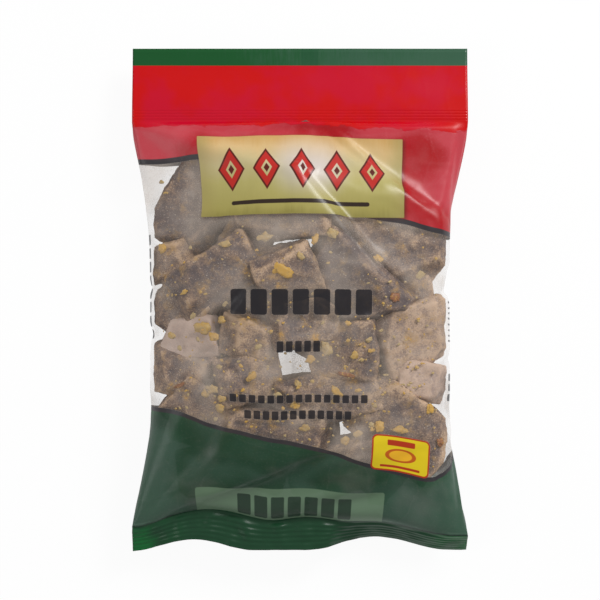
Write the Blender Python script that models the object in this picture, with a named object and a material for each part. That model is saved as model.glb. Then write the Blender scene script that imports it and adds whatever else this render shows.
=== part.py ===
"""A sealed clear pack of jaggery lumps, lying on its back, as one closed solid of its true outer shape.

The film is a tube, flat and full width at its two end seals and drawn in at the waist, where the
lumps fill it. +X runs across the front, +Y from the foot seal to the header, +Z out of the front.
"""

import math

import bmesh
import bpy
from mathutils import Vector

# Driving sizes, in metres.
PACK_WIDTH = 0.185  # the flat tube of film, at the seals
PACK_LENGTH = 0.278  # header edge to foot edge
WAIST_WIDTH = 0.166
HEADER_LENGTH = 0.041  # the flat part above the fill, with the top seal at its lower edge
FOOT_LENGTH = 0.017  # the bottom seal
FIN_THICKNESS = 0.0012  # both films and their seal, where the pack is flat
RIM_HEIGHT = 0.021  # where the front and back meet at the sides, above the ground
CROWN_RISE = 0.027  # the smooth front, above the rim
BELLY_DROP = 0.034  # the back, below the rim, before the ground flattens it
HEADER_DROOP = 0.005  # how far the header's free edge hangs below the rim
FOOT_DROOP = 0.008
HEADER_TAPER = 0.050  # the length over which the film draws in from the seal to the waist
FOOT_TAPER = 0.066
FOOT_NOTCH = 0.0065  # how far the crumpled foot edge draws back at its two folds
FOOT_RIPPLE = 0.0022  # height of the foot seal's waves

# How the surface is divided.
CELLS_ACROSS = 34
CELLS_IN_HEADER = 4
CELLS_IN_FILL = 44
CELLS_IN_FOOT = 4

# The lumps that press the front out: across, along, long side, short side, turn in degrees, rise.
LUMPS = (
    (-0.053, 0.052, 0.046, 0.034, 50, 0.0060),
    (-0.014, 0.050, 0.047, 0.032, 5, 0.0050),
    (0.048, 0.056, 0.040, 0.032, 20, 0.0040),
    (0.051, 0.027, 0.058, 0.038, -38, 0.0060),
    (0.032, 0.008, 0.048, 0.036, -40, 0.0065),
    (-0.008, 0.015, 0.032, 0.028, 20, 0.0055),
    (-0.047, 0.013, 0.047, 0.028, 28, 0.0055),
    (-0.060, -0.001, 0.034, 0.026, -35, 0.0050),
    (-0.058, -0.021, 0.030, 0.022, 10, 0.0050),
    (-0.063, -0.040, 0.032, 0.026, -20, 0.0050),
    (-0.026, -0.022, 0.028, 0.022, 0, 0.0045),
    (0.001, -0.018, 0.032, 0.024, -10, 0.0040),
    (0.026, -0.029, 0.036, 0.032, 0, 0.0065),
    (0.060, -0.022, 0.038, 0.036, 20, 0.0060),
    (0.063, -0.045, 0.027, 0.022, -10, 0.0045),
    (-0.027, -0.042, 0.034, 0.027, 10, 0.0050),
    (0.011, -0.053, 0.046, 0.028, 5, 0.0045),
    (0.054, -0.064, 0.046, 0.028, -40, 0.0055),
    (-0.047, -0.060, 0.030, 0.026, 0, 0.0045),
    (-0.012, -0.073, 0.050, 0.027, -8, 0.0050),
    (0.028, -0.080, 0.032, 0.030, 0, 0.0045),
)

FILM_COLOUR = (0.86, 0.80, 0.74, 1.0)
FILM_ROUGHNESS = 0.3

HEADER_EDGE = PACK_LENGTH / 2
FOOT_EDGE = -PACK_LENGTH / 2
FILL_TOP = HEADER_EDGE - HEADER_LENGTH
FILL_FOOT = FOOT_EDGE + FOOT_LENGTH


def smooth_step(value):
    value = min(1.0, max(0.0, value))
    return value * value * (3 - 2 * value)


def station(row):
    """The place along the pack of a row of the grid, closer together near the two seals."""
    if row <= CELLS_IN_FOOT:
        return FOOT_EDGE + FOOT_LENGTH * row / CELLS_IN_FOOT
    row -= CELLS_IN_FOOT
    if row <= CELLS_IN_FILL:
        share = (1 - math.cos(math.pi * row / CELLS_IN_FILL)) / 2
        even = row / CELLS_IN_FILL
        return FILL_FOOT + (FILL_TOP - FILL_FOOT) * (0.45 * share + 0.55 * even)
    return FILL_TOP + HEADER_LENGTH * (row - CELLS_IN_FILL) / CELLS_IN_HEADER


def half_width(along):
    """Half the pack's width: full at the seals, less at the waist."""
    from_header = smooth_step((FILL_TOP - along) / HEADER_TAPER)
    from_foot = smooth_step((along - FILL_FOOT + 0.004) / FOOT_TAPER)
    return (PACK_WIDTH - (PACK_WIDTH - WAIST_WIDTH) * from_header * from_foot) / 2


def fullness(along):
    """How full the pack is here, from 0 at a seal to 1."""
    middle = (FILL_TOP + FILL_FOOT) / 2
    reach = min(1.0, abs(along - middle) / ((FILL_TOP - FILL_FOOT) / 2))
    return (1 - reach**2.8) ** 0.72


def rim(across, along):
    """Height of the line where front and back meet, which the free seals droop and ripple from."""
    height = RIM_HEIGHT
    height -= HEADER_DROOP * smooth_step((along - FILL_TOP) / HEADER_LENGTH)
    in_foot = smooth_step((FILL_FOOT - along) / FOOT_LENGTH)
    height -= FOOT_DROOP * in_foot
    height += FOOT_RIPPLE * in_foot * math.sin(across * 2 * math.pi / 0.052 + 0.6)
    return height


def lump_rise(across, along):
    """How far the lumps under the film push it out here. The highest one counts."""
    rise = 0.0
    for x, y, long_side, short_side, turn, height in LUMPS:
        angle = math.radians(turn)
        dx, dy = across - x, along - y
        u = (dx * math.cos(angle) + dy * math.sin(angle)) / (long_side / 2)
        v = (dy * math.cos(angle) - dx * math.sin(angle)) / (short_side / 2)
        reach = (abs(u) ** 2.6 + abs(v) ** 2.6) ** (1 / 2.6)
        rise = max(rise, height * (1 - smooth_step((reach - 0.55) / 0.75)))
    return rise


def foot_edge_shift(across):
    """How far the foot's edge draws back where the seal is folded, nothing at the two corners."""
    folds = 0.0
    for place, reach in ((-0.059, 0.030), (0.041, 0.034)):
        folds += max(0.0, math.cos(min(1.0, abs(across - place) / reach) * math.pi / 2)) ** 2
    middle = math.cos(across / (PACK_WIDTH / 2) * math.pi / 2)
    return FOOT_NOTCH * folds + 0.0014 * middle


def place(side, column, row):
    """A point of the front (side 1) or back (side -1) at a column and row of the grid."""
    along = station(row)
    angle = math.pi * (column / CELLS_ACROSS - 0.5)
    in_fill = fullness(along) if FILL_FOOT < along < FILL_TOP else 0.0
    even = 2 * column / CELLS_ACROSS - 1
    across = half_width(along) * ((1 - in_fill) * even + in_fill * math.sin(angle))
    swell = in_fill * math.cos(angle) ** 0.85 if 0 < column < CELLS_ACROSS else 0.0
    height = rim(across, along) + side * FIN_THICKNESS / 2
    if side > 0:
        height += CROWN_RISE * swell + lump_rise(across, along) * min(1.0, 1.6 * swell)
    else:
        height = max(0.0, height - BELLY_DROP * swell)
    if row < CELLS_IN_FOOT:
        along += foot_edge_shift(across) * (1 - row / CELLS_IN_FOOT)
    return Vector((across, along, height))


def film_material():
    material = bpy.data.materials.new("printed_film")
    material.use_nodes = True
    shader = material.node_tree.nodes["Principled BSDF"]
    shader.inputs["Base Color"].default_value = FILM_COLOUR
    shader.inputs["Roughness"].default_value = FILM_ROUGHNESS
    shader.inputs["Metallic"].default_value = 0.0
    return material


def make_pack(collection):
    """A flat grid, extruded into a closed slab, whose points then take their places."""
    rows = CELLS_IN_HEADER + CELLS_IN_FILL + CELLS_IN_FOOT
    shape = bmesh.new()
    bmesh.ops.create_grid(shape, x_segments=CELLS_ACROSS, y_segments=rows, size=0.5)
    raised = bmesh.ops.extrude_face_region(shape, geom=shape.faces[:])["geom"]
    front = [item for item in raised if isinstance(item, bmesh.types.BMVert)]
    bmesh.ops.translate(shape, verts=front, vec=(0, 0, 1))
    for vertex in shape.verts:
        column = round((vertex.co.x + 0.5) * CELLS_ACROSS)
        row = round((vertex.co.y + 0.5) * rows)
        vertex.co = place(1 if vertex.co.z > 0.5 else -1, column, row)
    bmesh.ops.recalc_face_normals(shape, faces=shape.faces[:])
    mesh = bpy.data.meshes.new("jaggery_pack")
    shape.to_mesh(mesh)
    shape.free()
    mesh.shade_smooth()
    mesh.set_sharp_from_angle(angle=math.radians(50))
    mesh.materials.append(film_material())
    pack = bpy.data.objects.new("jaggery_pack", mesh)
    collection.objects.link(pack)


def main():
    for item in list(bpy.data.objects):
        bpy.data.objects.remove(item)
    collection = bpy.data.collections.new("jaggery_pack")
    bpy.context.scene.collection.children.link(collection)
    make_pack(collection)


main()
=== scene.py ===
import math
import random

import bpy
import numpy as np
from mathutils import Matrix, Vector, noise
from mathutils.bvhtree import BVHTree


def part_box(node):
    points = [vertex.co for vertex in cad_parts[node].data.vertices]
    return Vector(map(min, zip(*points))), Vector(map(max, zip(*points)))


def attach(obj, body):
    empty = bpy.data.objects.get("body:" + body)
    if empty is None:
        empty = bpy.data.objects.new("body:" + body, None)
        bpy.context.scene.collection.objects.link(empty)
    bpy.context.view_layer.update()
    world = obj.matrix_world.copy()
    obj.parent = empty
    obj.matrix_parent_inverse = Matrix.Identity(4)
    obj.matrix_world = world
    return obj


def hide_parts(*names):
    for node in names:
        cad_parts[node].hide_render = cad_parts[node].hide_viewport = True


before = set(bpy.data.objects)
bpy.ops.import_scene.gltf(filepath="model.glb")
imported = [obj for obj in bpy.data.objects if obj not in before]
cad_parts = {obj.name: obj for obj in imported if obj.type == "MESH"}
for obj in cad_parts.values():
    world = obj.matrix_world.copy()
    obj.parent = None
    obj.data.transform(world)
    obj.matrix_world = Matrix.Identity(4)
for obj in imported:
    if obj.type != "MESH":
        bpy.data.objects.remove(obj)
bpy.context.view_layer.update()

packLow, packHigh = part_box("jaggery_pack")
scene = bpy.context.scene


# small helpers

def deselectAll():
    for item in bpy.context.selected_objects:
        item.select_set(False)


def pick(*items):
    # leaves only these selected, the last one active
    if bpy.context.mode != "OBJECT":
        bpy.ops.object.mode_set(mode="OBJECT")
    deselectAll()
    for item in items:
        item.select_set(True)
    bpy.context.view_layer.objects.active = items[-1]


def applyAll(item):
    pick(item)
    for modifier in list(item.modifiers):
        bpy.ops.object.modifier_apply(modifier=modifier.name)


def pointsOf(item):
    flat = np.empty(len(item.data.vertices) * 3)
    item.data.vertices.foreach_get("co", flat)
    return flat.reshape(-1, 3)


def movePoints(item, points):
    item.data.vertices.foreach_set("co", points.ravel())
    item.data.update()


def smoothStep(low, high, value):
    share = np.clip((np.asarray(value, float) - low) / (high - low), 0, 1)
    return share * share * (3 - 2 * share)


# shader expressions

class Value:
    # a socket that takes part in sums, so that a mask reads as one line

    def __init__(self, graph, socket):
        self.graph, self.socket = graph, socket

    def sum(self, operation, *others):
        return self.graph.node("Math", {"operation": operation}, *((self,) + others))

    def __add__(self, other):
        return self.sum("ADD", other)

    __radd__ = __add__

    def __mul__(self, other):
        return self.sum("MULTIPLY", other)

    __rmul__ = __mul__

    def __sub__(self, other):
        return self.sum("SUBTRACT", other)

    def __rsub__(self, other):
        return self.graph.node("Math", {"operation": "SUBTRACT"}, other, self)

    def __truediv__(self, other):
        return self.sum("DIVIDE", other)

    def __abs__(self):
        return self.sum("ABSOLUTE")

    def least(self, other):
        return self.sum("MINIMUM", other)

    def most(self, other):
        return self.sum("MAXIMUM", other)

    def power(self, other):
        return self.sum("POWER", other)

    def wrap(self, low, high):
        return self.sum("WRAP", high, low)

    def rise(self, low, high, bottom=0.0, top=1.0):
        # from bottom to top as this goes from low to high, eased at both ends
        return self.graph.node("MapRange", {"interpolation_type": "SMOOTHSTEP"}, self, low, high, bottom, top)


class Graph:
    # the nodes of one material

    def __init__(self, name):
        self.material = bpy.data.materials.new(name)
        self.material.use_nodes = True
        self.tree = self.material.node_tree
        self.shader = self.tree.nodes["Principled BSDF"]

    def plug(self, socket, value):
        if isinstance(value, Value):
            self.tree.links.new(value.socket, socket)
        else:
            socket.default_value = value

    def node(self, kind, settings=None, *values, out=0, **named):
        made = self.tree.nodes.new("ShaderNode" + kind)
        for name, setting in (settings or {}).items():
            if name == "stops":
                ramp = made.color_ramp
                while len(ramp.elements) < len(setting):
                    ramp.elements.new(0.5)
                for element, (place, colour) in zip(ramp.elements, setting):
                    element.position = place
                    element.color = colour + (1,) if isinstance(colour, tuple) else (colour,) * 3 + (1,)
            elif name == "curve":
                curve = made.mapping.curves[0]
                for place in setting[1:-1]:
                    curve.points.new(*place)
                curve.points[0].location = setting[0]
                curve.points[-1].location = setting[-1]
                made.mapping.update()
            else:
                setattr(made, name, setting)
        for socket, value in zip(made.inputs, values):
            self.plug(socket, value)
        for name, value in named.items():
            self.plug(made.inputs[name.replace("_", " ")], value)
        return Value(self, made.outputs[out])

    def mix(self, first, second, share):
        # first where share is 0, second where it is 1
        made = self.tree.nodes.new("ShaderNodeMix")
        made.data_type = "RGBA"
        self.plug(made.inputs["Factor"], share)
        for socket, colour in ((made.inputs[6], first), (made.inputs[7], second)):
            self.plug(socket, colour if isinstance(colour, Value) else tuple(colour) + (1,))
        return Value(self, made.outputs[2])

    def noise(self, where, size, detail=2.0, roughness=0.5, offset=(0, 0, 0), stretch=None):
        # stretch divides the places, so that the marks are that much longer along each axis
        if stretch:
            where = self.node("VectorMath", {"operation": "DIVIDE"}, where, stretch)
        moved = self.node("VectorMath", {"operation": "ADD"}, where, offset)
        return self.node("TexNoise", None, Vector=moved, Scale=1 / size, Detail=detail, Roughness=roughness)

    def finish(self, **sockets):
        for name, value in sockets.items():
            if isinstance(value, tuple) and len(value) == 3:
                value = value + (1,)
            self.plug(self.shader.inputs[name.replace("_", " ")], value)
        return self.material


# the pack's form

packForm = {
    "width": packHigh.x - packLow.x,  # the flat tube
    "waist": 0.166,
    "header": 0.0333,  # the flat part above the top seal
    "crimp": 0.0077,  # the top seal
    "foot": 0.015,  # the bottom seal
    "rim": 0.021,  # height of the sides
    "crown": 0.0335,  # the front above the rim
    "belly": 0.034,  # the back below the rim, before the table flattens it
    "headerDroop": 0.005,
    "slack": 1.05,  # the film between the seals is this much longer than the straight way
    "columns": 72,
    "rows": {"foot": 24, "fill": 92, "crimp": 20, "header": 8},
}
packForm["fillFoot"] = packLow.y + 0.017
packForm["fillTop"] = packHigh.y - packForm["header"] - packForm["crimp"]
packForm["flatLength"] = (packForm["foot"] + (packForm["fillTop"] - packForm["fillFoot"]) * packForm["slack"]
                          + packForm["crimp"] + packForm["header"])


def hump(x, middle, reach):
    # a smooth rise from 0 to 1 and back
    return np.cos(np.clip(abs(np.asarray(x) - middle) / reach, 0, 1) * math.pi / 2) ** 2


def footLine(x):
    # where the bottom seal starts, which the fill pushes up and down
    return (packForm["fillFoot"] + 0.0068 * hump(x, -0.050, 0.040) + 0.0025 * hump(x, 0.004, 0.024)
            - 0.0080 * smoothStep(0.040, 0.085, x) - 0.0030 * smoothStep(-0.068, -0.092, x))


def footEdge(x):
    return packLow.y + 0.0068 * hump(x, -0.059, 0.035) + 0.0066 * hump(x, 0.043, 0.040) + 0.0014 * hump(x, 0, 0.092)


def halfWidth(y):
    form = packForm
    fromHeader = smoothStep(0, 0.050, form["fillTop"] - y)
    fromFoot = smoothStep(0, 0.066, y - form["fillFoot"] + 0.004)
    return (form["width"] - (form["width"] - form["waist"]) * fromHeader * fromFoot) / 2


def fullness(y):
    form = packForm
    middle = (form["fillTop"] + form["fillFoot"]) / 2
    reach = np.clip(abs(y - middle) / ((form["fillTop"] - form["fillFoot"]) / 2), 0, 1)
    return (1 - reach**2.8) ** 0.72


def rimHeight(y):
    form = packForm
    return form["rim"] - form["headerDroop"] * smoothStep(0, form["header"] + form["crimp"], y - form["fillTop"])


def frontHeight(x, y):
    # height of the smooth front at a place
    across = np.clip(abs(x) / halfWidth(y), 0, 1)
    return rimHeight(y) + packForm["crown"] * fullness(y) * np.sqrt(1 - across**2) ** 0.85


# the lumps

lumpSet = {
    "voxel": 0.00135,
    "lowerVoxel": 0.0022,
    "coreVoxel": 0.0030,  # of the plain shapes that the film is draped on
    "topCuts": 4,  # facets broken off the upper side of each
    "tip": 11,  # degrees that each lump may lean out of the layer
    "sunk": 0.0045,  # how far some lie below the film
    "sideCuts": 3,
    "bevel": 0.0018,
    "clear": 0.0022,  # kept free under the film
    "pressed": 1.14,  # a lump may start this far through the film, and is then flattened against it
    "spare": 1.12,  # the blocks start this much larger than the broken lumps
    "seed": 21,
}

# across, along, length, width, depth, turn, how far it leans out with the film, tone from dark to pale
upperLumps = (
    (-0.055, 0.056, 0.056, 0.034, 0.028, 58, 0.5, -0.6),
    (-0.071, 0.021, 0.021, 0.019, 0.017, 15, 0.6, 0.5),
    (-0.047, 0.012, 0.050, 0.027, 0.028, 32, 0.4, -0.5),
    (-0.066, -0.004, 0.032, 0.026, 0.022, -38, 0.7, 0.3),
    (-0.012, 0.053, 0.054, 0.036, 0.026, 4, 0.3, -0.1),
    (-0.008, 0.014, 0.031, 0.027, 0.026, 20, 0.0, 0.2),
    (0.030, 0.010, 0.056, 0.030, 0.028, -42, 0.0, -0.9),
    (0.050, 0.036, 0.060, 0.040, 0.028, -38, 0.5, 0.1),
    (-0.059, -0.021, 0.032, 0.021, 0.020, 6, 0.8, 1.5),
    (-0.028, -0.020, 0.027, 0.021, 0.022, -12, 0.3, 0.2),
    (0.001, -0.013, 0.034, 0.022, 0.022, 12, 0.0, 0.1),
    (0.025, -0.029, 0.034, 0.031, 0.028, 8, 0.2, 0.0),
    (0.061, -0.018, 0.040, 0.034, 0.026, 18, 0.6, 1.0),
    (0.065, -0.045, 0.028, 0.021, 0.020, -12, 0.7, 1.2),
    (-0.064, -0.040, 0.036, 0.025, 0.024, -12, 0.7, 0.0),
    (-0.028, -0.043, 0.032, 0.025, 0.024, 12, 0.3, 0.2),
    (0.014, -0.053, 0.050, 0.026, 0.024, 14, 0.2, -0.1),
    (-0.053, -0.063, 0.038, 0.026, 0.024, -42, 0.6, -0.1),
    (-0.013, -0.073, 0.054, 0.026, 0.024, -8, 0.3, 0.2),
    (0.055, -0.069, 0.052, 0.034, 0.026, -38, 0.6, 0.1),
    (0.028, -0.090, 0.036, 0.026, 0.022, 20, 0.6, 0.0),
    (-0.046, -0.091, 0.040, 0.024, 0.020, 14, 0.7, 0.0),
    (0.004, 0.083, 0.044, 0.022, 0.020, -6, 0.7, 0.0),
    (0.056, 0.072, 0.034, 0.024, 0.022, 24, 0.7, 0.0),
)
# across, along, turn of the lumps beneath, which leave open what is seen through
lowerLumps = (
    (-0.032, 0.074, 20), (0.008, 0.080, 80), (0.046, 0.066, 120), (-0.026, 0.040, 60), (0.053, 0.034, 40),
    (0.021, 0.066, 10), (-0.040, 0.006, 150), (-0.008, 0.006, 30), (0.026, 0.004, 70), (0.060, 0.000, 100),
    (-0.058, -0.030, 20), (-0.032, -0.024, 110), (0.018, -0.024, 150), (0.050, -0.032, 60), (-0.030, -0.056, 30),
    (0.004, -0.060, 100), (0.052, -0.066, 20), (-0.056, -0.060, 70), (-0.026, -0.088, 160), (0.012, -0.092, 10),
    (0.046, -0.092, 50),
)


def bulge(points, shrink=0.0):
    # 0 in the middle of the pack's space and 1 at its film, for each point
    form = packForm
    x, y, z = points.T
    height = z - rimHeight(y)
    room = np.where(height > 0, form["crown"], form["belly"]) * np.maximum(fullness(y), 0.05)
    return np.hypot(x / (halfWidth(y) - shrink), height / (room - shrink))


def roughBlock(name, size, chance):
    # a block with its corners and edges broken off by flat cuts
    deselectAll()
    bpy.ops.mesh.primitive_cube_add(size=1)
    block = bpy.context.object
    block.name = name
    block.scale = size
    bpy.ops.object.transform_apply(location=False, rotation=False, scale=True)
    bpy.ops.object.mode_set(mode="EDIT")
    for count, side, steep in ((lumpSet["topCuts"], 1, (22, 58)), (lumpSet["sideCuts"], -1, (5, 50))):
        for cut in range(count):
            around = math.radians(360 * cut / count + chance.uniform(-35, 35))
            rise = math.radians(chance.uniform(*steep))
            normal = Vector((math.cos(around) * math.cos(rise), math.sin(around) * math.cos(rise), side * math.sin(rise)))
            reach = sum(abs(part) * length / 2 for part, length in zip(normal, size))
            bpy.ops.mesh.select_all(action="SELECT")
            bpy.ops.mesh.bisect(plane_co=normal * reach * chance.uniform(0.62, 0.86), plane_no=normal,
                                use_fill=True, clear_outer=True)
    bpy.ops.object.mode_set(mode="OBJECT")
    bevel = block.modifiers.new("worn edges", "BEVEL")
    bevel.width = lumpSet["bevel"]
    bevel.segments = 2
    bevel.limit_method = "ANGLE"
    bevel.angle_limit = math.radians(15)
    applyAll(block)
    return block


def settle(block, x, y, turn, lean, tip, sunk, low):
    # turned, leant out with the film's slope, then sunk until nearly all of it is inside the film
    step = 0.002
    slopeX = float(frontHeight(x + step, y) - frontHeight(x - step, y)) / (2 * step) * lean
    slopeY = float(frontHeight(x, y + step) - frontHeight(x, y - step)) / (2 * step) * lean
    up = Vector((-slopeX, -slopeY, 1)).normalized()
    tilt = Vector((0, 0, 1)).rotation_difference(up).to_matrix().to_4x4()
    tipped = Matrix.Rotation(math.radians(tip[0]), 4, "X") @ Matrix.Rotation(math.radians(tip[1]), 4, "Y")
    block.data.transform(tilt @ tipped @ Matrix.Rotation(math.radians(turn), 4, "Z"))
    points = pointsOf(block)
    points += (x, y, 0)
    base = 0.0022
    rim = packForm["rim"]
    top = float(frontHeight(x, y)) - lumpSet["clear"] - sunk
    points[:, 2] += base - points[:, 2].min() if low else top - points[:, 2].max()
    for attempt in range(40):
        out = bulge(points, lumpSet["clear"])
        worst = out.argmax()
        spare = points[:, 2].min() - base
        if out[worst] <= lumpSet["pressed"] or spare <= 0:
            break
        points[:, 2] -= min(spare, 0.0012)
    if out[worst] > lumpSet["pressed"]:
        points[:, 2] = rim + (points[:, 2] - rim) * max(0.55, 1 - (out[worst] - lumpSet["pressed"]) * 0.6)
    points[:, 2] += max(0.0, base - points[:, 2].min())
    movePoints(block, points)


def pressIn(block, clear):
    # what would stick out of the film is flattened against it
    points = pointsOf(block)
    out = np.maximum(bulge(points, clear), 1)
    middle = np.column_stack([np.zeros(len(points)), points[:, 1], np.full(len(points), packForm["rim"])])
    points = middle + (points - middle) / out[:, None]
    points[:, 2] = np.maximum(points[:, 2], 0.0020)
    movePoints(block, points)


def joinAll(items, name):
    pick(*items)
    bpy.ops.object.join()
    joined = bpy.context.object
    joined.name = name
    joined.data.name = name
    return joined


def copyOf(item, name):
    twin = item.copy()
    twin.data = item.data.copy()
    twin.name = name
    scene.collection.objects.link(twin)
    return twin


def remeshed(block, voxel):
    remesh = block.modifiers.new("even faces", "REMESH")
    remesh.mode = "VOXEL"
    remesh.voxel_size = voxel
    applyAll(block)


def setTone(block, tone):
    # how pale this lump is, for its material
    mark = block.data.attributes.new("tone", "FLOAT", "POINT")
    mark.data.foreach_set("value", np.full(len(block.data.vertices), tone, np.float32))


def makeLumps():
    chance = random.Random(lumpSet["seed"])
    upper, lower = [], []
    for number, (x, y, length, width, depth, turn, lean, tone) in enumerate(upperLumps):
        block = roughBlock(f"upper{number}", (length * lumpSet["spare"], width * lumpSet["spare"], depth), chance)
        tip = [chance.uniform(-lumpSet["tip"], lumpSet["tip"]) for _ in range(2)]
        settle(block, x, y, turn, lean, tip, chance.uniform(0, lumpSet["sunk"]), False)
        upper.append((block, tone))
    for number, (x, y, turn) in enumerate(lowerLumps):
        size = (chance.uniform(0.036, 0.045), chance.uniform(0.027, 0.033), chance.uniform(0.022, 0.026))
        block = roughBlock(f"lower{number}", size, chance)
        settle(block, x, y, turn, 0, (0, 0), 0, True)
        lower.append((block, chance.uniform(-0.6, 0.2)))
    cores = [copyOf(block, block.name + "Core") for block, tone in upper + lower]
    for core in cores:
        remeshed(core, lumpSet["coreVoxel"])
        pressIn(core, lumpSet["clear"])
    proxy = joinAll(cores, "lumpCores")
    for items, voxel in ((upper, lumpSet["voxel"]), (lower, lumpSet["lowerVoxel"])):
        for block, tone in items:
            remeshed(block, voxel)
            pressIn(block, lumpSet["clear"] + 0.0004)
            setTone(block, tone)
    return joinAll([block for block, tone in upper], "upperLumps"), joinAll([block for block, tone in lower], "lowerLumps"), proxy


def crumble(lumps, fine):
    # the broken, grainy surface of the sugar
    waves = bpy.data.textures.new(lumps.name + "Waves", "CLOUDS")
    waves.noise_scale = 0.011
    waves.noise_depth = 1
    grain = bpy.data.textures.new(lumps.name + "Grain", "CLOUDS")
    grain.noise_scale = 0.0035
    grain.noise_depth = 2
    for texture, strength, middle in ((waves, 0.0022, 0.55), (grain, fine, 0.5)):
        push = lumps.modifiers.new(texture.name, "DISPLACE")
        push.texture = texture
        push.strength = strength
        push.mid_level = middle
        push.texture_coords = "LOCAL"
    applyAll(lumps)
    bpy.ops.object.shade_smooth()


def markWearAndHollowShade(lumps, rounds=3):
    # stores how far each point stands out of its neighbours: positive for the pale worn edges, negative for painted
    # shade in the hollows
    mesh = lumps.data
    edges = np.empty(len(mesh.edges) * 2, int)
    mesh.edges.foreach_get("vertices", edges)
    edges = edges.reshape(-1, 2)
    normals = np.empty(len(mesh.vertices) * 3)
    mesh.vertices.foreach_get("normal", normals)
    normals = normals.reshape(-1, 3)
    points = pointsOf(lumps)
    count = np.bincount(edges.ravel(), minlength=len(points))
    spread = np.zeros_like(points)
    for a, b in (edges.T, edges.T[::-1]):
        for axis in range(3):
            spread[:, axis] += np.bincount(a, weights=points[b, axis] - points[a, axis], minlength=len(points))
    bend = -(spread * normals).sum(axis=1) / count
    for _ in range(rounds):
        near = np.zeros(len(points))
        for a, b in (edges.T, edges.T[::-1]):
            near += np.bincount(a, weights=bend[b], minlength=len(points))
        bend = (bend + near / count) / 2
    bend /= np.percentile(abs(bend), 95)
    wear = mesh.attributes.new("wear", "FLOAT", "POINT")
    wear.data.foreach_set("value", np.clip(bend, -1, 1).astype(np.float32))


# the film

filmSet = {
    "frames": 36,
    "quality": 6,
    "gap": 0.0008,  # between the two sheets where the pack is flat
    "away": 0.0012,  # the film keeps this far from the lumps
    "topRib": (0.00010, 0.0016),  # height and spacing of the ribs pressed into each seal
    "footRib": (0.00022, 0.0023),
    "crumple": 0.0015,  # of the foot seal
    "foldDip": 0.0011,  # of the crease where the foot seal starts
    "headerWave": 0.0005,
}


def filmRows():
    # for each row of the film: its place along the flat film, along the pack, and in its stretch from 0 to 1
    form = packForm
    flat, along, part, name = [0.0], [packLow.y], [0.0], ["foot"]
    stretches = (("foot", form["foot"], form["fillFoot"] - packLow.y),
                 ("fill", (form["fillTop"] - form["fillFoot"]) * form["slack"], form["fillTop"] - form["fillFoot"]),
                 ("crimp", form["crimp"], form["crimp"]), ("header", form["header"], form["header"]))
    for stretch, flatLength, length in stretches:
        count = form["rows"][stretch]
        for row in range(1, count + 1):
            flat.append(flat[-1] + flatLength / count)
            along.append(along[-1] + length / count)
            part.append(row / count)
            name.append(stretch)
    return np.array(flat), np.array(along), np.array(part), name


def pillowRow(y, side, shares):
    # a row of points across the front (side 1) or back (side -1), evenly spaced along the film
    form = packForm
    full = float(fullness(y))
    phi = np.linspace(-math.pi / 2, math.pi / 2, 121)
    x = float(halfWidth(y)) * np.sin(phi)
    swell = full * np.clip(np.cos(phi), 0, 1) ** 0.85
    z = float(rimHeight(y)) + side * filmSet["gap"] / 2 + (form["crown"] * swell if side > 0 else -form["belly"] * swell)
    z = np.maximum(z, 0.0004)
    length = np.concatenate([[0], np.cumsum(np.hypot(np.diff(x), np.diff(z)))])
    wanted = shares * length[-1]
    return np.interp(wanted, length, x), np.interp(wanted, length, z)


def crumpled(x, y, grainX, grainY, seed):
    # uneven folds, longer one way than the other
    return np.array([noise.fractal(Vector((a / grainX, b / grainY, seed)), 0.8, 2.0, 3) for a, b in zip(x, y)])


def sealRow(name, part, y, flatX, flatY, side):
    # a row of points of the flat header or of one of the two seals
    form = packForm
    level = float(rimHeight(y)) + side * filmSet["gap"] / 2
    if name == "foot":
        top, low = footLine(flatX), footEdge(flatX)
        drop = np.sqrt(np.maximum(form["foot"] ** 2 - (top - low) ** 2, 0))
        height, pitch = filmSet["footRib"]
        free = 1 - part
        here = np.full_like(flatX, flatY)
        z = level - drop * free + filmSet["crumple"] * min(1, free * 5) * crumpled(flatX, here, 0.009, 0.014, 3.1)
        z += height * math.cos(2 * math.pi * flatY / pitch) * min(1, part * 4, free * 4)
        z -= filmSet["foldDip"] * float(hump(part, 0.93, 0.12)) * (0.7 + crumpled(flatX, here, 0.02, 1, 9.3))
        return top - (top - low) * free, z
    wave = filmSet["headerWave"] * crumpled(flatX, np.full_like(flatX, flatY), 0.05, 0.03, 7.7)
    if name == "crimp":
        height, pitch = filmSet["topRib"]
        z = level + wave * part + height * math.cos(2 * math.pi * flatY / pitch) * min(1, part * 5, (1 - part) * 5)
    else:
        z = level + wave
    return np.full_like(flatX, y), z


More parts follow.
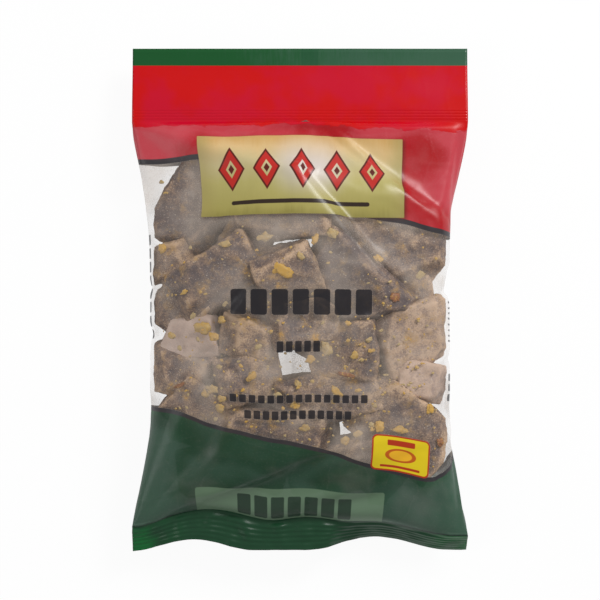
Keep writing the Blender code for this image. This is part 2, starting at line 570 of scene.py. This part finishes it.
def makeFilm():
    form = packForm
    rows = sum(form["rows"].values())
    deselectAll()
    bpy.ops.mesh.primitive_grid_add(x_subdivisions=form["columns"], y_subdivisions=rows, size=1)
    film = bpy.context.object
    film.name = "film"
    film.data.name = "film"
    bpy.ops.object.mode_set(mode="EDIT")
    bpy.ops.mesh.select_all(action="SELECT")
    bpy.ops.mesh.extrude_region_move(TRANSFORM_OT_translate={"value": (0, 0, 1)})
    bpy.ops.mesh.select_all(action="SELECT")
    bpy.ops.mesh.normals_make_consistent(inside=False)
    bpy.ops.object.mode_set(mode="OBJECT")
    grid = pointsOf(film)
    column = np.rint((grid[:, 0] + 0.5) * form["columns"]).astype(int)
    row = np.rint((grid[:, 1] + 0.5) * rows).astype(int)
    front = grid[:, 2] > 0.5
    flatRows, packRows, parts, names = filmRows()
    shares = np.arange(form["columns"] + 1) / form["columns"]
    flatX = (shares - 0.5) * form["width"]
    flat = np.column_stack([flatX[column], flatRows[row], np.where(front, filmSet["gap"], 0.0)])
    mesh = film.data
    layer = mesh.uv_layers.active
    layer.name = "flatFilm"
    corner = np.empty(len(mesh.loops), int)
    mesh.loops.foreach_get("vertex_index", corner)
    chart = np.column_stack([flat[corner, 0] / form["width"] + 0.5, flat[corner, 1] / form["flatLength"]])
    layer.data.foreach_set("uv", chart.ravel())
    points = np.empty_like(grid)
    for side, chosen in ((1, front), (-1, ~front)):
        for number, (y, part, name) in enumerate(zip(packRows, parts, names)):
            if name == "fill":
                x, z = pillowRow(y, side, shares)
                along = y + (footLine(flatX) - form["fillFoot"]) * (1 - part) ** 3
            else:
                x = flatX
                along, z = sealRow(name, part, y, flatX, flatRows[number], side)
            here = chosen & (row == number)
            at = column[here]
            points[here] = np.column_stack([x[at], along[at], z[at]])
    movePoints(film, points)
    footRows = form["rows"]["foot"]
    held = (row <= footRows) | (row >= footRows + form["rows"]["fill"])
    edge = (column == 0) | (column == form["columns"]) | (row == 0) | (row == rows)
    crease = mesh.attributes.new("crease_edge", "FLOAT", "EDGE")
    crease.data.foreach_set("value", [float(edge[a] and edge[b]) for a, b in mesh.edge_keys])
    for polygon in mesh.polygons:
        polygon.material_index = 0 if np.any(front[list(polygon.vertices)]) else 1
    return film, flat, held


def drape(film, flat, held, solids):
    # the pillow tries to be its flat tube again, and the lumps stop it
    film.shape_key_add(name="Basis")
    cut = film.shape_key_add(name="cut")
    cut.data.foreach_set("co", (flat - np.array([0, flat[:, 1].mean(), -0.02])).ravel())
    group = film.vertex_groups.new(name="held")
    group.add([int(index) for index in np.flatnonzero(held)], 1.0, "REPLACE")
    for item in solids:
        wall = item.modifiers.new("wall", "COLLISION")
        item.collision.thickness_outer = 0.0006
        item.collision.thickness_inner = 0.004
        item.collision.cloth_friction = 2
        item.collision.use_culling = False
    sheet = film.modifiers.new("drape", "CLOTH")
    settings = sheet.settings
    settings.quality = filmSet["quality"]
    settings.mass = 0.1
    settings.air_damping = 3
    settings.tension_stiffness = 60
    settings.compression_stiffness = 60
    settings.shear_stiffness = 30
    settings.bending_stiffness = 0.6
    settings.tension_damping = 20
    settings.compression_damping = 20
    settings.shear_damping = 10
    settings.vertex_group_mass = "held"
    settings.rest_shape_key = cut
    settings.effector_weights.gravity = 0.15
    sheet.collision_settings.distance_min = filmSet["away"] - 0.0006
    sheet.collision_settings.collision_quality = 3
    sheet.point_cache.frame_start = 1
    sheet.point_cache.frame_end = filmSet["frames"]
    for frameNumber in range(1, filmSet["frames"] + 1):
        scene.frame_set(frameNumber)
    pick(film)
    bpy.ops.object.convert(target="MESH")
    scene.frame_set(1)
    film.vertex_groups.clear()
    points = pointsOf(film)
    points[:, 2] = np.maximum(points[:, 2], 0.0006)  # the back lies flat on the table
    movePoints(film, points)


def markApart(film, *lumps):
    # stores how far the film stands off the lumps, 1 at 10 mm, because it looks milky there
    shapes = bpy.context.evaluated_depsgraph_get()
    trees = [BVHTree.FromObject(item, shapes) for item in lumps]
    reach = 0.010
    points = pointsOf(film)
    apart = np.ones(len(points), np.float32)
    for tree in trees:
        for index, point in enumerate(points):
            distance = tree.find_nearest(Vector(point), reach)[3]
            if distance is not None:
                apart[index] = min(apart[index], distance / reach)
    mark = film.data.attributes.new("apart", "FLOAT", "POINT")
    mark.data.foreach_set("value", apart)


crumbSet = {"seed": 5, "few": 70, "many": 380, "size": (0.0005, 0.0014), "under": 0.0007}

# across, along, length, width, tone from pale yellow to red-brown
bigCrumbs = (
    (0.009, 0.033, 0.0040, 0.0050, 0.2), (-0.011, 0.017, 0.0100, 0.0072, 0.1), (0.043, 0.023, 0.0052, 0.0048, 0.2),
    (-0.076, 0.028, 0.0048, 0.0046, 0.2), (0.000, 0.024, 0.0045, 0.0032, -0.5), (0.051, 0.002, 0.0058, 0.0052, 0.9),
    (0.067, 0.014, 0.0055, 0.0045, -0.9), (-0.071, -0.019, 0.0042, 0.0034, -0.4), (-0.053, -0.015, 0.0090, 0.0060, -0.3),
    (-0.047, -0.020, 0.0056, 0.0044, 0.2), (-0.043, -0.010, 0.0044, 0.0040, -0.2), (0.014, -0.026, 0.0060, 0.0078, -0.6),
    (0.005, -0.032, 0.0046, 0.0034, 0.1), (0.029, -0.030, 0.0040, 0.0040, -0.3), (-0.026, -0.041, 0.0040, 0.0054, 0.1),
    (-0.001, -0.045, 0.0032, 0.0040, -0.4), (0.020, -0.050, 0.0068, 0.0040, 0.0), (-0.048, -0.048, 0.0052, 0.0046, -0.4),
    (-0.043, -0.053, 0.0044, 0.0034, -0.3), (-0.052, -0.051, 0.0036, 0.0044, -0.2), (-0.044, -0.059, 0.0050, 0.0040, -0.3),
    (-0.003, -0.057, 0.0048, 0.0042, -0.1), (0.071, -0.059, 0.0046, 0.0050, 0.3), (0.043, -0.069, 0.0052, 0.0056, 0.0),
    (0.031, -0.072, 0.0048, 0.0036, -0.3), (0.055, -0.071, 0.0072, 0.0042, -0.1), (0.024, -0.076, 0.0046, 0.0040, -0.2),
    (0.003, -0.069, 0.0048, 0.0038, -0.3), (0.077, -0.078, 0.0046, 0.0040, 0.9), (-0.066, -0.046, 0.0070, 0.0022, 0.9),
    (0.026, -0.041, 0.0092, 0.0026, 0.9), (-0.020, 0.034, 0.0070, 0.0050, -0.5), (0.018, 0.036, 0.0064, 0.0044, -0.6),
    (-0.040, 0.030, 0.0060, 0.0036, -0.5),
)


def makeCrumbs(film):
    # crumbs and grains of the sugar, which cling to the inside of the film
    chance = random.Random(crumbSet["seed"])
    points = pointsOf(film)
    normals = np.empty(len(points) * 3)
    film.data.vertices.foreach_get("normal", normals)
    normals = normals.reshape(-1, 3)
    front = (normals[:, 2] > 0.25) & (points[:, 2] > packForm["rim"] + 0.002)
    points, normals = points[front], normals[front]
    places = list(bigCrumbs)
    for count, low, high in ((crumbSet["few"], 0.0, 0.075), (crumbSet["many"], -0.092, 0.005)):
        for _ in range(count):
            size = chance.uniform(*crumbSet["size"])
            if chance.random() < 0.18:
                size *= 2
            places.append((chance.uniform(-0.076, 0.076), chance.uniform(low, high),
                           size * chance.uniform(1, 1.7), size, chance.uniform(-1, 0.35)))
    crumbs = []
    for x, y, length, width, tone in places:
        nearest = ((points[:, :2] - (x, y)) ** 2).sum(axis=1).argmin()
        deselectAll()
        bpy.ops.mesh.primitive_ico_sphere_add(subdivisions=3 if length > 0.003 else 2, radius=0.5)
        crumb = bpy.context.object
        seed = Vector((x, y, 0)) * 400
        for vertex in crumb.data.vertices:
            vertex.co *= 1 + 0.65 * noise.noise(vertex.co * 2.2 + seed) + 0.35 * noise.noise(vertex.co * 6 + seed)
        out = Vector(normals[nearest])
        thick = 0.3 * width
        turn = Vector((0, 0, 1)).rotation_difference(out).to_matrix().to_4x4()
        spin = Matrix.Rotation(chance.uniform(-0.9, 0.9), 4, "Z")
        size = Matrix.Diagonal((length, width, thick, 1))
        centre = Vector(points[nearest]) - out * (crumbSet["under"] + thick / 2)
        crumb.data.transform(Matrix.Translation(centre) @ turn @ spin @ size)
        setTone(crumb, tone)
        crumbs.append(crumb)
    crumbs = joinAll(crumbs, "crumbs")
    bpy.ops.object.shade_smooth()
    return crumbs


def makeSeam(film, flat):
    # the seam where the tube's two long edges are sealed, folded flat down the middle of the back
    rows = sum(packForm["rows"].values())
    points = pointsOf(film)
    spacing = packForm["width"] / packForm["columns"]
    inBack = np.flatnonzero((flat[:, 2] < filmSet["gap"] / 2) & (abs(flat[:, 0]) < spacing * 2.5))
    order = inBack[np.lexsort((flat[inBack, 0], flat[inBack, 1]))]
    deselectAll()
    bpy.ops.mesh.primitive_grid_add(x_subdivisions=4, y_subdivisions=rows, size=1)
    seam = bpy.context.object
    seam.name = "backSeam"
    seam.data.name = "backSeam"
    bpy.ops.object.mode_set(mode="EDIT")
    bpy.ops.mesh.select_all(action="SELECT")
    bpy.ops.mesh.extrude_region_move(TRANSFORM_OT_translate={"value": (0, 0, 1)})
    bpy.ops.mesh.select_all(action="SELECT")
    bpy.ops.mesh.normals_make_consistent(inside=False)
    bpy.ops.object.mode_set(mode="OBJECT")
    grid = pointsOf(seam)
    column = np.rint((grid[:, 0] + 0.5) * 4).astype(int)
    row = np.rint((grid[:, 1] + 0.5) * rows).astype(int)
    placed = points[order[row * 5 + column]]
    placed[:, 2] = np.maximum(placed[:, 2] - np.where(grid[:, 2] > 0.5, 0.0001, 0.0004), 0.0001)
    movePoints(seam, placed)
    bpy.ops.object.shade_smooth()
    return seam


def makePack():
    upper, lower, cores = makeLumps()
    print("lumps broken:", len(upper.data.polygons), len(lower.data.polygons))
    film, flat, held = makeFilm()
    print("film cut:", len(film.data.polygons))
    deselectAll()
    bpy.ops.mesh.primitive_plane_add(size=0.6)
    table = bpy.context.object
    drape(film, flat, held, (cores, table))
    print("film draped")
    bpy.data.objects.remove(table)
    bpy.data.objects.remove(cores)
    seam = makeSeam(film, flat)
    for lumps, fine in ((upper, 0.0011), (lower, 0.0008)):
        crumble(lumps, fine)
        markWearAndHollowShade(lumps)
    smooth = film.modifiers.new("smooth", "SUBSURF")
    smooth.levels = smooth.render_levels = 1
    applyAll(film)
    bpy.ops.object.shade_smooth()
    markApart(film, upper, lower)
    crumbs = makeCrumbs(film)
    print("crumbs scattered:", len(crumbs.data.polygons))
    return film, seam, upper, lower, crumbs


# finishes

def jaggeryMaterial():
    graph = Graph("jaggery")
    where = graph.node("TexCoord", out=3)
    wear = graph.node("Attribute", {"attribute_name": "wear"}, out=2)
    tone = graph.node("Attribute", {"attribute_name": "tone"}, out=2)
    broad = graph.noise(where, 0.018, 2)
    patch = graph.noise(where, 0.0032, 4, 0.7, (0.3, 0, 0))
    grain = graph.noise(where, 0.0009, 3, 0.75, (0, 0, 0.5))
    # pale adds the pale worn edges, painted shade in the hollows from the wear attribute, mottling and each lump's tone
    pale = (wear * 0.42 + (patch - 0.5) * 0.9 + (grain - 0.5) * 1.7 + (broad - 0.5) * 1.7 + tone * 0.34 + 0.42)
    body = graph.mix((0.066, 0.045, 0.050), (0.185, 0.118, 0.085), pale.rise(0.05, 0.5))
    body = graph.mix(body, (0.50, 0.335, 0.21), pale.rise(0.45, 1.05))
    gold = graph.noise(where, 0.009, 2, 0.5, (0, 0.7, 0))
    body = graph.mix(body, (0.34, 0.20, 0.065), (gold + (patch - 0.5) * 0.5).rise(0.54, 0.70) * 0.55)
    body = graph.mix(body, (0.56, 0.43, 0.38), tone.rise(0.8, 1.5) * 0.75)
    body = graph.mix(body, (0.50, 0.26, 0.04), (gold * 0.8 + grain * 0.4 + patch * 0.4).rise(0.97, 1.03))
    sparkle = graph.noise(where, 0.0008, 1, 0.5, (0.2, 0.2, 0))
    body = graph.mix(body, (0.58, 0.50, 0.42), sparkle.rise(0.66, 0.74) * 0.6)
    return graph.finish(Base_Color=body, Roughness=0.6,
                        Normal=graph.node("Bump", None, Strength=0.5, Distance=0.0007, Height=grain + patch))


def crumbMaterial():
    graph = Graph("goldenCrumb")
    where = graph.node("TexCoord", out=3)
    tone = graph.node("Attribute", {"attribute_name": "tone"}, out=2) + (graph.noise(where, 0.0015) - 0.5) * 1.4
    body = graph.mix((0.42, 0.30, 0.12), (0.52, 0.29, 0.03), tone.rise(-0.8, 0.2))
    body = graph.mix(body, (0.22, 0.07, 0.012), tone.rise(0.5, 0.9))
    return graph.finish(Base_Color=body, Roughness=0.55)


def filmMaterial(name, back):
    graph = Graph(name)
    form = packForm
    chart = graph.node("UVMap", {"uv_map": "flatFilm"})
    split = graph.tree.nodes.new("ShaderNodeSeparateXYZ")
    graph.plug(split.inputs[0], chart)
    share = Value(graph, split.outputs[0])
    x = (share - 0.5) * form["width"]  # metres from the middle
    up = Value(graph, split.outputs[1]) * form["flatLength"]  # metres from the foot's edge
    joined = graph.tree.nodes.new("ShaderNodeCombineXYZ")
    graph.plug(joined.inputs[0], x)
    graph.plug(joined.inputs[1], up)
    flat = Value(graph, joined.outputs[0])
    if back:
        flat = graph.node("VectorMath", {"operation": "ADD"}, flat, (0.7, 0.3, 0))
    sharp = 0.00022

    def below(value, edge, soft=sharp):
        return value.rise(edge - soft, edge + soft, 1.0, 0.0)

    def box(middleX, middleUp, sizeX, sizeUp, corner=0.0, soft=sharp, acrossHere=None, upHere=None):
        acrossBy = abs((x if acrossHere is None else acrossHere) - middleX) - (sizeX / 2 - corner)
        alongBy = abs((up if upHere is None else upHere) - middleUp) - (sizeUp / 2 - corner)
        outside = (acrossBy.most(0) * acrossBy.most(0) + alongBy.most(0) * alongBy.most(0)).power(0.5)
        return below(outside + acrossBy.most(alongBy).least(0), corner, soft)

    def blocks(middleX, middleUp, count, pitch, sizeX, sizeUp, corner=0.0008):
        # a row of equal blocks
        start = middleX - count * pitch / 2
        local = (x - start).wrap(0, pitch)
        return (box(pitch / 2, middleUp, sizeX, sizeUp, corner, acrossHere=local)
                * below(abs(x - middleX), count * pitch / 2))

    def column(middleX, middleUp, count, pitch, sizeX, sizeUp, corner=0.0006):
        start = middleUp - count * pitch / 2
        local = (up - start).wrap(0, pitch)
        return (box(middleX, pitch / 2, sizeX, sizeUp, corner, upHere=local)
                * below(abs(up - middleUp), count * pitch / 2))

    # the two waves that the colours end in
    redCurve = ((0, 0.87), (0.07, 0.872), (0.13, 0.89), (0.20, 0.91), (0.34, 0.82), (0.5, 0.54), (0.61, 0.34),
                (0.72, 0.225), (0.80, 0.18), (0.88, 0.095), (1, 0.02))
    greenCurve = ((0, 0.84), (0.07, 0.80), (0.143, 0.725), (0.185, 0.645), (0.24, 0.55), (0.343, 0.485), (0.443, 0.42),
                  (0.5, 0.36), (0.584, 0.275), (0.695, 0.125), (0.785, 0.062), (0.869, 0.056), (0.903, 0.114),
                  (0.938, 0.20), (1, 0.36))
    fromRed = up - graph.node("FloatCurve", {"curve": redCurve}, 1.0, share) * 0.050 - 0.180
    fromGreen = up - graph.node("FloatCurve", {"curve": greenCurve}, 1.0, share) * 0.050 - 0.040
    red = 1 - below(fromRed, 0)
    green = below(fromGreen, 0)
    strip = 1 - below(up, form["flatLength"] - 0.0095)
    line = below(abs(fromRed), 0.0015).most(below(abs(fromGreen), 0.0013))

    # milky patches, powder inside the film and painted highlights along the creases
    cloud = graph.noise(flat, 0.030, 3, 0.55, (0.4, 0.1, 0))
    dust = graph.noise(flat, 0.0012, 2, 0.7)
    crease = abs(graph.noise(flat, 0.026, 2, 0.45, (0.1, 0.9, 0), (1.0, 1.9, 1)) - 0.5)
    fold = abs(graph.noise(flat, 0.034, 1, 0.4, (0.5, 0.2, 0), (2.2, 0.9, 1)) - 0.5)
    # painted highlights: pale lines along the film's creases
    creaseHighlight = (crease.rise(0.0, 0.016, 1.0, 0.0) * cloud.rise(0.42, 0.6)).most(fold.rise(0.0, 0.009, 0.7, 0.0)
                                                                             * cloud.rise(0.55, 0.42))
    # the film's milky haze and powder, with the painted crease highlights in it
    milkAndCreaseHighlight = cloud.rise(0.50, 0.74) * 0.20 + dust.rise(0.55, 0.75) * 0.10 + creaseHighlight * 0.05
    ragged = graph.noise(flat, 0.006, 3, 0.65, (0.6, 0.6, 0), (2.2, 1, 1))
    topSeal = 1 - below(up + (ragged - 0.5) * 0.0075 + x * 0.012, 0.2420, 0.0003)
    sealed = topSeal.most(below(up, 0.0152, 0.0003))
    loose = 1 - sealed

    apart = graph.node("Attribute", {"attribute_name": "apart"}, out=2)
    cling = graph.noise(flat, 0.019, 2, 0.5, (0.15, 0.45, 0), (1.5, 1.0, 1))
    hazy = (apart + (cling - 0.5) * 1.1 + (dust - 0.5) * 0.15).rise(0.10, 0.85)  # where the film stands off the fill
    hatch = graph.noise(flat, 0.0011, 2, 0.6, (0, 0.3, 0), (1, 9, 1))
    deep = graph.mix((0.54, 0.0005, 0.001), (0.52, 0.0005, 0.018), cloud.rise(0.38, 0.6))
    colour = graph.mix((0.66, 0.56, 0.48), deep, red)
    colour = graph.mix(colour, (0.40, 0.002, 0.006), red * loose)
    colour = graph.mix(colour, (0.56, 0.050, 0.070), red * loose * (hazy * 0.85 + 0.06))
    # the strip's green is lighter towards the right, and mottled
    lighterToRight = (share + (cloud - 0.5) * 0.8 + (hatch - 0.5) * 0.5).rise(0.2, 0.9)
    colour = graph.mix(colour, graph.mix((0.006, 0.078, 0.018), (0.034, 0.100, 0.056), lighterToRight), strip)
    bright = abs(x).rise(0.060, 0.088) * cling.rise(0.35, 0.6)
    greenInk = graph.mix((0.010, 0.050, 0.021), (0.006, 0.115, 0.026), bright)
    colour = graph.mix(colour, greenInk, green)
    colour = graph.mix(colour, (0.038, 0.090, 0.058), green * loose * (hazy * 0.8 + 0.12))
    # painted shade: a dark line along the crease where the foot seal folds, and a painted highlight on the paler edge
    # just above it
    foldAt = up - 0.0152 + (ragged - 0.5) * 0.0016
    colour = graph.mix(colour, (0.006, 0.018, 0.012), below(abs(foldAt), 0.00035, 0.0004) * cling.rise(0.3, 0.5) * green)
    colour = graph.mix(colour, (0.10, 0.17, 0.12), below(abs(foldAt - 0.0012), 0.0002, 0.0006) * ragged.rise(0.45, 0.6) * green * 0.6)

    colour = graph.mix(colour, (0.75, 0.60, 0.60), milkAndCreaseHighlight * loose * (red.most(green)) * 0.25)
    colour = graph.mix(colour, (0.036, 0.032, 0.036), line)
    inked = red.most(green).most(strip)
    alpha = (inked * 0.82 + 0.07 + (milkAndCreaseHighlight + hazy * 0.24) * (1 - inked)).most(line * 0.94).most(sealed * inked)
    gloss = 0.30
    if not back:
        window = box(-0.0058, 0.0195, 0.1015, 0.0215, 0.0012) * loose
        colour = graph.mix(colour, (0.125, 0.205, 0.125), window * green)
        colour = graph.mix(colour, (0.014, 0.040, 0.020), blocks(-0.0033, 0.0210, 7, 0.0091, 0.0071, 0.0100) * loose)
        label = box(0, 0.2140, 0.1115, 0.0458, 0.0004)
        shadow = box(0.0008, 0.2132, 0.1120, 0.0462, 0.0012, 0.0020)
        colour = graph.mix(colour, (0.06, 0.02, 0.012), shadow * 0.75)
        lengthwise = graph.noise(flat, 0.0016, 2, 0.6, (0, 0, 0), (1, 14, 1))
        washes = graph.noise(flat, 0.020, 2, 0.5, (0.8, 0, 0), (1, 1.6, 1))
        rising = (up - 0.1911) / 0.0458
        stops = ((0.0, (0.25, 0.215, 0.055)), (0.10, (0.34, 0.295, 0.085)), (0.40, (0.42, 0.37, 0.13)),
                 (0.66, (0.52, 0.44, 0.23)), (0.88, (0.62, 0.43, 0.20)), (1.0, (0.56, 0.34, 0.12)))
        panel = graph.node("ValToRGB", {"stops": stops}, rising + (washes - 0.5) * 0.22 + (lengthwise - 0.5) * 0.10)
        # painted highlight: a soft pale lilac spot in the middle of the label
        pale = box(0.004, 0.2190, 0.030, 0.020, 0.009, 0.012)
        panel = graph.mix(panel, (0.62, 0.56, 0.57), pale * 0.75)
        panel = graph.mix(panel, (0.33, 0.27, 0.09), 0.6 - below(abs(x), 0.0500, 0.0055) * 0.6)
        colour = graph.mix(colour, panel, label)
        # a plain ornament: five equal lozenges over a thin bar
        spacing = 0.0192
        nearX = (x + spacing * 2.5).wrap(0, spacing) - spacing / 2
        diamond = abs(nearX) / 0.0074 + abs(up - 0.2175) / 0.0122
        five = below(abs(x), spacing * 2.5)
        colour = graph.mix(colour, (0.10, 0.012, 0.008), below(diamond, 1.0, 0.03) * five)
        colour = graph.mix(colour, (0.46, 0.022, 0.016), below(diamond, 0.84, 0.03) * five)
        colour = graph.mix(colour, panel, below(diamond, 0.40, 0.03) * five)
        colour = graph.mix(colour, (0.10, 0.012, 0.008), below(diamond, 0.22, 0.03) * five)
        colour = graph.mix(colour, (0.030, 0.018, 0.012), box(-0.001, 0.1985, 0.076, 0.0024, 0.0012))
        inks = (blocks(-0.0012, 0.1410, 7, 0.0108, 0.0086, 0.0148, 0.0016).most(
                    blocks(-0.0024, 0.1156, 5, 0.0047, 0.0037, 0.0066)).most(
                        blocks(-0.0018, 0.0855, 15, 0.0049, 0.0037, 0.0048)).most(
                            blocks(-0.0023, 0.0762, 12, 0.0048, 0.0037, 0.0052)))
        side = column(-0.0886, 0.1515, 8, 0.0078, 0.0050, 0.0060).most(
            column(0.0835, 0.1310, 8, 0.0031, 0.0050, 0.0011, 0.0002)).most(
                column(0.0850, 0.0940, 3, 0.0056, 0.0060, 0.0040))
        colour = graph.mix(colour, (0.022, 0.020, 0.023), inks.most(side))
        turn = math.radians(-3)
        acrossBadge = (x - 0.0526) * math.cos(turn) + (up - 0.0540) * math.sin(turn)
        upBadge = (up - 0.0540) * math.cos(turn) - (x - 0.0526) * math.sin(turn)
        badge = box(0, 0, 0.0316, 0.0208, 0.0030, acrossHere=acrossBadge, upHere=upBadge)
        face = box(0, 0, 0.0298, 0.0190, 0.0022, acrossHere=acrossBadge, upHere=upBadge)
        colour = graph.mix(colour, (0.42, 0.035, 0.008), badge)
        colour = graph.mix(colour, (0.72, 0.54, 0.012), face)
        marks = box(0, 0.0062, 0.0150, 0.0032, 0.0006, acrossHere=acrossBadge, upHere=upBadge).most(
            box(0, -0.0076, 0.0215, 0.0014, 0.0004, acrossHere=acrossBadge, upHere=upBadge))
        colour = graph.mix(colour, (0.42, 0.035, 0.008), marks)
        ring = ((acrossBadge / 0.0085) * (acrossBadge / 0.0085) + (upBadge + 0.0008) / 0.0040 * ((upBadge + 0.0008) / 0.0040))
        colour = graph.mix(colour, (0.50, 0.10, 0.008), below(ring, 1.0, 0.06))
        colour = graph.mix(colour, (0.80, 0.42, 0.02), below(ring, 0.55, 0.06))
        seen = x.rise(0.0003, 0.0008) * x.rise(0.0098, 0.0103, 1.0, 0.0)
        colour = graph.mix(colour, (0.012, 0.075, 0.030), strip * seen * 0.6)
        alpha = alpha.most(label.most(badge) * 0.985).most(shadow * 0.42).most(inks * 0.92).most(side * 0.9)
    crinkle = graph.noise(flat, 0.006, 3, 0.6, (0.2, 0.6, 0))
    height = (crease.rise(0.0, 0.05, 1.0, 0.0) * 0.4 + fold.rise(0.0, 0.05, 1.0, 0.0) * 0.4 + crinkle * 0.5) * (loose * 0.7 + 0.3)
    graph.shader.inputs["Specular IOR Level"].default_value = 0.28
    return graph.finish(Base_Color=colour, Roughness=gloss, Alpha=alpha,
                        Normal=graph.node("Bump", None, Strength=0.25, Distance=0.0005, Height=height))


def seamMaterial():
    graph = Graph("seam")
    return graph.finish(Base_Color=(0.92, 0.90, 0.88), Roughness=0.35, Alpha=0.12)


# build

film, seam, upper, lower, crumbs = makePack()
film.data.materials.append(filmMaterial("printedFront", False))
film.data.materials.append(filmMaterial("printedBack", True))
jaggery = jaggeryMaterial()
for lumps in (upper, lower):
    lumps.data.materials.clear()
    lumps.data.materials.append(jaggery)
crumbs.data.materials.append(crumbMaterial())
seam.data.materials.append(seamMaterial())
for item, slot in ((film, "printed_film"), (seam, "printed_film"), (upper, "jaggery"), (lower, "jaggery"),
                   (crumbs, "jaggery")):
    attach(item, "root")
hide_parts("jaggery_pack")
print("finished")


# floor, light, camera

def makeStage():
    deselectAll()
    bpy.ops.mesh.primitive_plane_add(size=6, location=(0, 0, -0.0002))
    floor = bpy.context.object
    floor.name = "floor"
    graph = Graph("paleFloor")
    material = graph.finish(Base_Color=(0.93, 0.93, 0.93), Roughness=0.9)
    seen = graph.node("LightPath") * 0.94
    glow = graph.node("Emission", None, Color=(1, 1, 1, 1), Strength=1.0)
    blend = graph.tree.nodes.new("ShaderNodeMixShader")
    graph.plug(blend.inputs[0], seen)
    graph.tree.links.new(graph.shader.outputs[0], blend.inputs[1])
    graph.tree.links.new(glow.socket, blend.inputs[2])
    graph.tree.links.new(blend.outputs[0], graph.tree.nodes["Material Output"].inputs["Surface"])
    floor.data.materials.append(material)
    world = bpy.data.worlds.new("studio")
    scene.world = world
    world.use_nodes = True
    tree = world.node_tree
    light = tree.nodes["Background"]
    light.inputs["Color"].default_value = (1, 1, 1, 1)
    light.inputs["Strength"].default_value = 0.40
    seenWhite = tree.nodes.new("ShaderNodeBackground")
    seenWhite.inputs["Color"].default_value = (1, 1, 1, 1)
    path = tree.nodes.new("ShaderNodeLightPath")
    choice = tree.nodes.new("ShaderNodeMixShader")
    tree.links.new(path.outputs["Is Camera Ray"], choice.inputs[0])
    tree.links.new(light.outputs[0], choice.inputs[1])
    tree.links.new(seenWhite.outputs[0], choice.inputs[2])
    tree.links.new(choice.outputs[0], tree.nodes["World Output"].inputs["Surface"])
    lamps = (("key", (0.95, 1.05, 1.1), 0.6, 25), ("side", (-1.3, -0.2, 1.0), 1.0, 6))
    for name, place, size, power in lamps:
        deselectAll()
        bpy.ops.object.light_add(type="AREA", location=place)
        lamp = bpy.context.object
        lamp.name = name
        lamp.data.shape = "SQUARE"
        lamp.data.size = size
        lamp.data.energy = power
        lamp.rotation_euler = Vector(place).to_track_quat("Z", "Y").to_euler()


def makeCamera():
    camera = bpy.data.cameras.new("camera")
    camera.lens = 120
    camera.sensor_width = 36
    item = bpy.data.objects.new("camera", camera)
    scene.collection.objects.link(item)
    frameWidth = 0.3313  # of the plane of the seals
    item.location = (0, 0, 0.018 + frameWidth * camera.lens / camera.sensor_width)
    scene.camera = item


makeStage()
makeCamera()
scene.view_settings.view_transform = "Standard"
